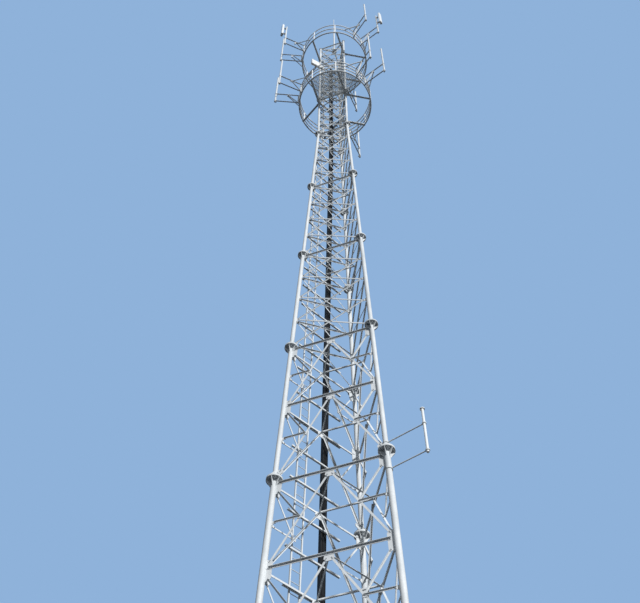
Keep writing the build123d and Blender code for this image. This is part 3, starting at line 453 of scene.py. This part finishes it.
tray_shade_zinc.node_tree.nodes["Principled BSDF"].inputs["Specular IOR Level"].default_value = 0.15
dress("cable_tray", tray_shade_zinc)
discard(band)

# Railings: galvanised steel pipes bent to rings, one above the other, on upright posts of pipe that
# stand on the platform's ring. Their zinc is paler than that of the other pieces, as painted light
# for the sun on the thin pipes.
# Painted light: a paler copy of the zinc stands in for sunlight on the thin rails.
rails_sunlit_zinc = zinc("painted_sunlight_on_rails", "#DFE2E3", "#E9EBEC", "#F2F4F4")
for level in ("lower", "upper"):
    dress(f"{level}_railing", rails_sunlit_zinc)

# Lower platform's floor: open grating of galvanised flat bars on edge, with lower bars across them
# and a flat bar round the edge, lying on the ring and on its arms.
LOWER_RING, UPPER_RING = TAPER_HEIGHT + 1.775, TAPER_HEIGHT + 4.625
RING_RADIUS, RING_PIPE, ARM_WIDTH, POST_PIPE = 0.765, 0.015, 0.040, 0.012
FLOOR_THICKNESS, FLOOR_END = 6 * MM, -23.0
FROM_LEG, FROM_FACE, FROM_POSTS = 25 * MM, 11 * MM, 2 * MM
FLOOR_LEFT = -(TOP_WIDTH + ARM_WIDTH) / 2
FLOOR_RIGHT = TOP_WIDTH / 2 + HEAD_LEG_RADIUS + FROM_LEG
FLOOR_INNER = -TOP_RADIUS / 2 - HEAD_LEG_RADIUS - FROM_FACE
FLOOR_RIM = RING_RADIUS - POST_PIPE - FROM_POSTS
BEARING_PITCH, BEARING_WIDTH, BEARING_EDGE = 9 * MM, 3 * MM, 0.04
ROD_PITCH, ROD_SHARE = 40 * MM, 0.6
EDGE_WIDTH, EDGE_STEPS = 4 * MM, 36
floor_z = LOWER_RING + RING_PIPE + GAP
fall = math.tan(math.radians(FLOOR_END))


def grating_bar(start, end, width, height):
    """Place of a unit bar stretched between two points of the floor, on its underside."""
    run = Vector(end) - Vector(start)
    turn = Matrix.Rotation(math.atan2(run.y, run.x), 4, "Z")
    size = Matrix.Diagonal((run.length, width, height, 1.0))
    return Matrix.Translation(TOWER_AXIS + Vector((*start, floor_z))) @ turn @ size


flat_bar = fresh(bpy.ops.mesh.primitive_cube_add, size=1.0, location=(0.5, 0, 0.5))
pick(flat_bar, lambda centre, normal: normal.z > FLAT)
bpy.ops.mesh.inset(thickness=BEARING_EDGE)
bpy.ops.object.mode_set(mode="OBJECT")
bar_places = []
x = FLOOR_LEFT + ROD_PITCH
while x < FLOOR_RIM * math.cos(math.radians(FLOOR_END)):
    top = FLOOR_INNER if x < FLOOR_RIGHT else x * fall
    start = (x, -math.sqrt(FLOOR_RIM ** 2 - x ** 2))
    bar_places.append(grating_bar(start, (x, top), BEARING_WIDTH, FLOOR_THICKNESS * ROD_SHARE))
    x += ROD_PITCH
y = FLOOR_RIGHT * fall - BEARING_PITCH
while y > -FLOOR_RIM + BEARING_PITCH / 2:
    reach = math.sqrt(FLOOR_RIM ** 2 - y ** 2)
    left = FLOOR_RIGHT if y > FLOOR_INNER else max(FLOOR_LEFT, -reach)
    right = min(reach, y / fall)
    bar_places.append(grating_bar((left, y), (right, y), BEARING_WIDTH, FLOOR_THICKNESS))
    y -= BEARING_PITCH
rim_start = math.atan2(-math.sqrt(FLOOR_RIM ** 2 - FLOOR_LEFT ** 2), FLOOR_LEFT)
rim_end = math.radians(FLOOR_END)
rim_angles = [rim_start + (rim_end - rim_start) * i / EDGE_STEPS for i in range(EDGE_STEPS + 1)]
inset_rim = FLOOR_RIM - EDGE_WIDTH / 2
outline = [(inset_rim * math.cos(a), inset_rim * math.sin(a)) for a in rim_angles]
outline += [(FLOOR_RIGHT, FLOOR_RIGHT * fall), (FLOOR_RIGHT, FLOOR_INNER),
            (FLOOR_LEFT, FLOOR_INNER)]
for start, end in zip(outline, outline[1:] + outline[:1]):
    bar_places.append(grating_bar(start, end, EDGE_WIDTH, FLOOR_THICKNESS))
grate_zinc = zinc("galvanised_grating", "#8F9598", "#A3A9AC", "#B8BDBF")
grating = copies("floor_grating", flat_bar, bar_places, grate_zinc)
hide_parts("platform_floor")
discard(flat_bar)

# Pole fixings: the clamp round each pole ends in two threads through its bracket's end plate, with
# nuts on the plate's inner side. A pressed steel cap closes the pole's top.
BRACKET_OFFSETS = (-6.0, 12.5)
BRACKET_HEADINGS = [leg + offset for leg in (LEFT, RIGHT, BACK) for offset in BRACKET_OFFSETS]
BRACKET_TOP, POLE_PLACE, POLE_RADIUS, POLE_DROP = 0.436, 1.2846, 18 * MM, 0.040
LOWER_POLE_LENGTH, UPPER_POLE_LENGTH, LONG_POLE_LENGTH = 1.550, 1.420, 1.780
POLE_LENGTHS = ((LOWER_RING, LOWER_POLE_LENGTH, LOWER_POLE_LENGTH),
                (UPPER_RING, UPPER_POLE_LENGTH, LONG_POLE_LENGTH))
CLAMP_WALL, END_PLATE = 5 * MM, 6 * MM
CAP_WALL, CAP_DEPTH, CAP_CENTRE, CAP_SLOPE, CAP_RISE = 1.5 * MM, 14 * MM, -5 * MM, 4 * MM, 2.5 * MM


def round_the_tower(heading):
    """Place on the tower's axis with x towards a heading."""
    return Matrix.Translation(TOWER_AXIS) @ Matrix.Rotation(math.radians(heading), 4, "Z")


cap = fresh(bpy.ops.mesh.primitive_cylinder_add, vertices=20, radius=POLE_RADIUS + CAP_WALL,
            depth=CAP_DEPTH, location=(0, 0, CAP_CENTRE))
pick(cap, lambda centre, normal: normal.z > FLAT)
bpy.ops.mesh.inset(thickness=CAP_SLOPE)
bpy.ops.transform.translate(value=(0, 0, CAP_RISE))
bpy.ops.object.mode_set(mode="OBJECT")
nut_places, cap_places = [], []
facing_in = Matrix.Rotation(-math.pi / 2, 4, "Y")
for level, length, first_length in POLE_LENGTHS:
    for i, heading in enumerate(BRACKET_HEADINGS):
        turn = round_the_tower(heading)
        top = level - POLE_DROP + (first_length if i == 0 else length)
        cap_places.append(turn @ Matrix.Translation((POLE_PLACE, 0, top)))
        for rise in (0.0, BRACKET_TOP):
            for side in (-1, 1):
                thread = side * (POLE_RADIUS + GAP + CLAMP_WALL / 2)
                spot = (POLE_PLACE - POLE_RADIUS - GAP - END_PLATE, thread, level + rise)
                nut_places.append(turn @ Matrix.Translation(spot) @ facing_in)
copies("pole_clamp_nuts", small, nut_places, bolt_steel)
copies("pole_caps", cap, cap_places, steel)
discard(cap)

# Panel antennas: white glass-fibre covers with rounded long edges and stepped end caps, on two
# clamp arms each. Dark connectors hang below the lower end.
ANTENNA_WIDTH, ANTENNA_DEPTH, ANTENNA_LENGTH, ANTENNA_STANDOFF = 0.094, 0.055, 0.760, 0.054
ANTENNA_RISE, ROUNDING_SHARE = 0.590, 0.3
ANTENNA_BOTTOM = UPPER_RING + ANTENNA_RISE
CLAMP_INSET, END_CAP, END_CAP_STEP, END_CAP_EDGE = 0.152, 0.014, 2.5 * MM, 5 * MM
CLAMP_WIDTH, CLAMP_HEIGHT, JAW_STRETCH = 30 * MM, 18 * MM, (1.0, 1.25, 1.5)
CHANNEL_EDGE, CHANNEL_DEPTH, LEANING = 3 * MM, 5 * MM, 0.8
COLLAR_RADIUS, COLLAR_LENGTH = 8 * MM, 8 * MM
THREAD_STEP, THREAD_LENGTH, PIN_STEP, PIN_LENGTH = 2.5 * MM, 14 * MM, 1.5 * MM, 8 * MM
CONNECTOR_OFFSETS = (-22 * MM, 22 * MM)
cover_white, tree, shader, place = new_material("white_glass_fibre", 0.0, 0.38)
shade = node(tree, "ShaderNodeTexNoise", {"Scale": 1 / 0.25, "Detail": 4.0}, Vector=place)
white = ramp(tree, shade.outputs["Fac"], (0.3, "#DDE0E0"), (0.7, "#EEF0F0"))
tree.links.new(white, shader.inputs["Base Color"])
peel = node(tree, "ShaderNodeTexNoise", {"Scale": 1 / 0.004, "Detail": 2.0}, Vector=place)
gel = node(tree, "ShaderNodeBump", {"Strength": 0.08, "Distance": 0.0003},
           Height=peel.outputs["Fac"])
tree.links.new(gel.outputs["Normal"], shader.inputs["Normal"])
dark_moulding, tree, shader, place = new_material("dark_moulded_nylon", 0.0, 0.55)
mottle = node(tree, "ShaderNodeTexNoise", {"Scale": 1 / 0.02, "Detail": 3.0}, Vector=place)
dark = ramp(tree, mottle.outputs["Fac"], (0.3, "#26282A"), (0.7, "#3A3D40"))
tree.links.new(dark, shader.inputs["Base Color"])


def round_edges(piece, width, segments, test):
    """Rounds the edges whose two ends pass a test."""
    bpy.ops.object.mode_set(mode="EDIT")
    bpy.ops.mesh.select_mode(type="EDGE")
    bpy.ops.mesh.select_all(action="DESELECT")
    work = bmesh.from_edit_mesh(piece.data)
    for edge in work.edges:
        edge.select_set(test(edge.verts[0].co, edge.verts[1].co))
    bmesh.update_edit_mesh(piece.data)
    bpy.ops.mesh.bevel(offset=width, segments=segments, affect="EDGES")
    bpy.ops.object.mode_set(mode="OBJECT")


def antenna_cover():
    """Cover with rounded edges and stepped ends; its back lies on x = 0 and its foot on z = 0."""
    piece = fresh(bpy.ops.mesh.primitive_cube_add, size=1.0,
                  location=(ANTENNA_DEPTH / 2, 0, ANTENNA_LENGTH / 2),
                  scale=(ANTENNA_DEPTH, ANTENNA_WIDTH, ANTENNA_LENGTH - END_CAP * 2))
    round_edges(piece, ANTENNA_DEPTH * ROUNDING_SHARE, 5,
                lambda a, b: abs(a.z - b.z) > ANTENNA_LENGTH / 2)
    for up in (-1, 1):
        pick(piece, lambda centre, normal: normal.z * up > FLAT)
        bpy.ops.mesh.inset(thickness=END_CAP_STEP)
        pushed(END_CAP * up)
        bpy.ops.mesh.inset(thickness=END_CAP_EDGE)
        bpy.ops.object.mode_set(mode="OBJECT")
    return piece


def connector():
    """Round stepped connector pointing down from z = 0: a collar, a thread and a pin."""
    piece = fresh(bpy.ops.mesh.primitive_cylinder_add, vertices=14, radius=COLLAR_RADIUS,
                  depth=COLLAR_LENGTH, location=(0, 0, -COLLAR_LENGTH / 2))
    pick(piece, lambda centre, normal: normal.z < -FLAT)
    bpy.ops.mesh.inset(thickness=THREAD_STEP)
    pushed(-THREAD_LENGTH)
    bpy.ops.mesh.inset(thickness=PIN_STEP)
    pushed(-PIN_LENGTH)
    bpy.ops.object.mode_set(mode="OBJECT")
    return piece


def clamp_arm():
    """Channel-shaped arm from a pole's face outwards, with a jaw against the pole."""
    piece = fresh(bpy.ops.mesh.primitive_cube_add, size=1.0, location=(ANTENNA_STANDOFF / 2, 0, 0),
                  scale=(ANTENNA_STANDOFF, CLAMP_WIDTH, CLAMP_HEIGHT))
    pick(piece, lambda centre, normal: normal.x < -FLAT)
    bpy.ops.transform.resize(value=JAW_STRETCH)
    pick(piece, lambda centre, normal: abs(normal.y) > LEANING)
    bpy.ops.mesh.inset(thickness=CHANNEL_EDGE, depth=-CHANNEL_DEPTH, use_individual=True)
    bpy.ops.object.mode_set(mode="OBJECT")
    return piece


cover, plug, arm = antenna_cover(), connector(), clamp_arm()
pole_face = POLE_PLACE + POLE_RADIUS + GAP
for side, leg in (("left", LEFT), ("right", RIGHT)):
    turn = round_the_tower(leg + BRACKET_OFFSETS[1])
    back = turn @ Matrix.Translation((pole_face + ANTENNA_STANDOFF, 0, ANTENNA_BOTTOM))
    shell = copies(f"{side}_antenna_cover", cover, [back], cover_white)
    arms = [turn @ Matrix.Translation((pole_face, 0, ANTENNA_BOTTOM + rise))
            for rise in (CLAMP_INSET, ANTENNA_LENGTH - CLAMP_INSET)]
    copies(f"{side}_antenna_clamps", arm, arms, steel)
    spots = [back @ Matrix.Translation((ANTENNA_DEPTH / 2, y, 0)) for y in CONNECTOR_OFFSETS]
    copies(f"{side}_antenna_connectors", plug, spots, dark_moulding)
    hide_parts(f"{side}_panel_antenna")
discard(cover, arm)

# White boxes on the lower railing: two powder-coated aluminium housings in line, standing on the
# top rail, with cooling fins on one broad side and dark connectors below.
BOX_ANGLE, BOX_RADIUS, BOX_HEADING = 258.0, 0.813, 228.0
LONG_BOX, SHORT_BOX = (0.190, 0.060, 0.260), (0.100, 0.060, 0.140)
SHORT_BOX_X = -(LONG_BOX[0] + SHORT_BOX[0]) / 2
TOP_RAIL, RAIL_PIPE = 0.590, 11 * MM
BOX_FLOOR = LOWER_RING + TOP_RAIL + RAIL_PIPE + GAP
BOX_EDGE, PANEL_EDGE, PANEL_DEPTH = 4 * MM, 7 * MM, 1.5 * MM
FIN_COUNT, FIN_DEPTH, FIN_WIDTH, FIN_SHARE, FIN_EDGE = 9, 12 * MM, 2.5 * MM, 0.92, 0.8 * MM
PORT_SHARES, PORT_Y, PORT_Z = (-0.3, 0.0, 0.3), -5 * MM, 1 * MM
coat_white, tree, shader, place = new_material("white_powder_coat", 0.0, 0.42)
dust = node(tree, "ShaderNodeTexNoise", {"Scale": 1 / 0.09, "Detail": 5.0}, Vector=place)
white = ramp(tree, dust.outputs["Fac"], (0.3, "#DFE1E0"), (0.7, "#F0F1F0"))
tree.links.new(white, shader.inputs["Base Color"])
orange_peel = node(tree, "ShaderNodeTexNoise", {"Scale": 1 / 0.002}, Vector=place)
coat = node(tree, "ShaderNodeBump", {"Strength": 0.1, "Distance": 0.0002},
            Height=orange_peel.outputs["Fac"])
tree.links.new(coat.outputs["Normal"], shader.inputs["Normal"])


def housing(length, depth, height, centre_x):
    """Housing with rounded edges, standing on z = 0, with upright fins sunk in its +y side."""
    fin_y = (depth - FIN_DEPTH) / 2
    body = fresh(bpy.ops.mesh.primitive_cube_add, size=1.0,
                 location=(centre_x, -FIN_DEPTH / 2, height / 2),
                 scale=(length, depth - FIN_DEPTH, height))
    round_edges(body, BOX_EDGE, 3, lambda a, b: abs(a.z - b.z) > height / 2)
    pick(body, lambda centre, normal: normal.y < -FLAT)
    bpy.ops.mesh.inset(thickness=PANEL_EDGE, depth=-PANEL_DEPTH)
    bpy.ops.object.mode_set(mode="OBJECT")
    fins = []
    for i in range(FIN_COUNT):
        x = centre_x + length * ((i + 0.5) / FIN_COUNT - 0.5)
        fin = fresh(bpy.ops.mesh.primitive_cube_add, size=1.0, location=(x, fin_y, height / 2),
                    scale=(FIN_WIDTH, FIN_DEPTH, height * FIN_SHARE))
        round_edges(fin, FIN_EDGE, 2, lambda a, b: abs(a.z - b.z) > height / 2 and a.y > fin_y)
        fins.append(fin)
    return joined("housing_pattern", body, *fins)


a = math.radians(BOX_ANGLE)
box_origin = TOWER_AXIS + Vector((BOX_RADIUS * math.cos(a), BOX_RADIUS * math.sin(a), BOX_FLOOR))
box_place = Matrix.Translation(box_origin) @ Matrix.Rotation(math.radians(BOX_HEADING), 4, "Z")
for name, size, centre_x in (("long", LONG_BOX, 0.0), ("short", SHORT_BOX, SHORT_BOX_X)):
    shape = housing(*size, centre_x)
    case = copies(f"{name}_box_housing", shape, [box_place], coat_white)
    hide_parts(f"{name}_rail_box")
    ports = [box_place @ Matrix.Translation((centre_x + size[0] * share, PORT_Y, PORT_Z))
             for share in PORT_SHARES]
    copies(f"{name}_box_connectors", plug, ports, dark_moulding)
    discard(shape)
discard(plug)

# Lightning rod: galvanised tube on a bolted base plate, stepped down by a cone to a solid rod that
# ends in a point.
ROD_RADIUS, ROD_TIP_RADIUS, ROD_PLATE = 20 * MM, 9 * MM, 8 * MM
ROD_LOWER, ROD_UPPER, CONE, POINT, POINT_SHARE = 1.776, 1.184, 0.060, 0.050, 0.12
PLATE_BOLTS, PLATE_BOLT_TURN, PLATE_BOLT_SHARE = 4, 45, 1.5
rod = fresh(bpy.ops.mesh.primitive_cylinder_add, vertices=24, radius=ROD_RADIUS * 2,
            depth=ROD_PLATE, location=(0, 0, ROD_PLATE / 2))
pick(rod, lambda centre, normal: normal.z > FLAT)
bpy.ops.mesh.inset(thickness=ROD_RADIUS)
pushed(ROD_LOWER - ROD_PLATE - CONE)
pushed(CONE)
shrink = ROD_TIP_RADIUS / ROD_RADIUS
bpy.ops.transform.resize(value=(shrink, shrink, 1.0))
pushed(ROD_UPPER - POINT)
pushed(POINT)
bpy.ops.transform.resize(value=(POINT_SHARE, POINT_SHARE, 1.0))
bpy.ops.object.mode_set(mode="OBJECT")
rod_base = TOWER_AXIS + Vector((0, 0, TOWER_TOP + ROD_PLATE))
spire = copies("rod_and_point", rod, [Matrix.Translation(rod_base)], steel)
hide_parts("lightning_rod")
plate_bolts = []
for i in range(PLATE_BOLTS):
    a = math.radians(PLATE_BOLT_TURN + 360 / PLATE_BOLTS * i)
    out = Vector((math.cos(a), math.sin(a), 0)) * ROD_RADIUS * PLATE_BOLT_SHARE
    plate_bolts.append(Matrix.Translation(rod_base + out + Vector((0, 0, ROD_PLATE))))
copies("rod_plate_bolts", small, plate_bolts, bolt_steel)
discard(rod, small)

# Side antenna: a slim white glass-fibre tube with a wider moulded cap, held clear of the right leg
# by its bracket.
SIDE_RISE, SIDE_LENGTH, SIDE_RADIUS, SIDE_CAP, SIDE_CAP_LIP = 7.175, 0.680, 0.015, 0.016, 0.012
SIDE_HEADING, SIDE_REACH = -15.0, 0.457
SIDE_CAP_UNDERSIDE, SIDE_CAP_UPRIGHT, SIDE_CAP_SLOPE, SIDE_CAP_TOP = 0.5 * MM, 0.5, 0.4, 0.7
a = math.radians(SIDE_HEADING)
side_foot = leg_point(SIDE_RISE, RIGHT) + Vector((math.cos(a), math.sin(a), 0)) * SIDE_REACH
tube = fresh(bpy.ops.mesh.primitive_cylinder_add, vertices=24, radius=SIDE_RADIUS,
             depth=SIDE_LENGTH, location=(0, 0, SIDE_LENGTH / 2))
pick(tube, lambda centre, normal: normal.z > FLAT)
grow = (SIDE_RADIUS + SIDE_CAP_LIP) / SIDE_RADIUS
pushed(SIDE_CAP_UNDERSIDE)
bpy.ops.transform.resize(value=(grow, grow, 1.0))
pushed(SIDE_CAP * SIDE_CAP_UPRIGHT)
pushed(SIDE_CAP * SIDE_CAP_SLOPE)
bpy.ops.transform.resize(value=(SIDE_CAP_TOP, SIDE_CAP_TOP, 1.0))
bpy.ops.object.mode_set(mode="OBJECT")
whip = copies("side_antenna_tube", tube, [Matrix.Translation(side_foot)], cover_white)
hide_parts("side_antenna")
discard(tube)

# Floor and light: a pale floor under the tower and a pale blue surround. One soft lamp shines from
# the front and right, 25 degrees up. The floor throws back less light than it shows, because the
# undersides of the bars are dark in the photograph.
FLOOR_SIZE = 240.0
LAMP_HEADING, LAMP_HEIGHT, LAMP_SPREAD, LAMP_ENERGY = 318.0, 25.0, 4, 4.0
SURROUND_STRENGTH = 0.34


def shown_directly(tree):
    """1 for what the eye, a reflection or clear glass shows, 0 for light that falls on things."""
    rays = node(tree, "ShaderNodeLightPath")
    total = rays.outputs["Is Camera Ray"]
    for kind in ("Is Glossy Ray", "Is Transmission Ray"):
        more = node(tree, "ShaderNodeMath", {"operation": "MAXIMUM"})
        tree.links.new(total, more.inputs[0])
        tree.links.new(rays.outputs[kind], more.inputs[1])
        total = more.outputs["Value"]
    return total


floor = fresh(bpy.ops.mesh.primitive_plane_add, size=FLOOR_SIZE, location=(0, TOWER_AXIS.y, 0))
floor.name = "studio_floor"
floor_paint, tree, shader, place = new_material("pale_floor_paint", 0.0, 0.8)
paint = node(tree, "ShaderNodeMixRGB", {"Color1": colour("#2C2F32"), "Color2": colour("#DDE0E2")},
             Fac=shown_directly(tree))
tree.links.new(paint.outputs["Color"], shader.inputs["Base Color"])
floor.data.materials.append(floor_paint)

world = bpy.data.worlds.new("studio_surround")
bpy.context.scene.world = world
world.use_nodes = True
tree = world.node_tree
surround = tree.nodes["Background"]
surround.inputs["Color"].default_value = colour("#E6EBF0")
surround.inputs["Strength"].default_value = SURROUND_STRENGTH
backdrop = node(tree, "ShaderNodeBackground", {"Color": colour("#8FB2DA"), "Strength": 1.0})
seen = node(tree, "ShaderNodeMixShader", Fac=shown_directly(tree))
tree.links.new(surround.outputs["Background"], seen.inputs[1])
tree.links.new(backdrop.outputs["Background"], seen.inputs[2])
tree.links.new(seen.outputs["Shader"], tree.nodes["World Output"].inputs["Surface"])

bpy.ops.object.light_add(type="SUN")
lamp = bpy.context.object
lamp.data.energy = LAMP_ENERGY
lamp.data.angle = math.radians(LAMP_SPREAD)
lamp.rotation_euler = (math.radians(90 - LAMP_HEIGHT), 0, math.radians(LAMP_HEADING + 90))
bpy.context.scene.view_settings.view_transform = "Standard"
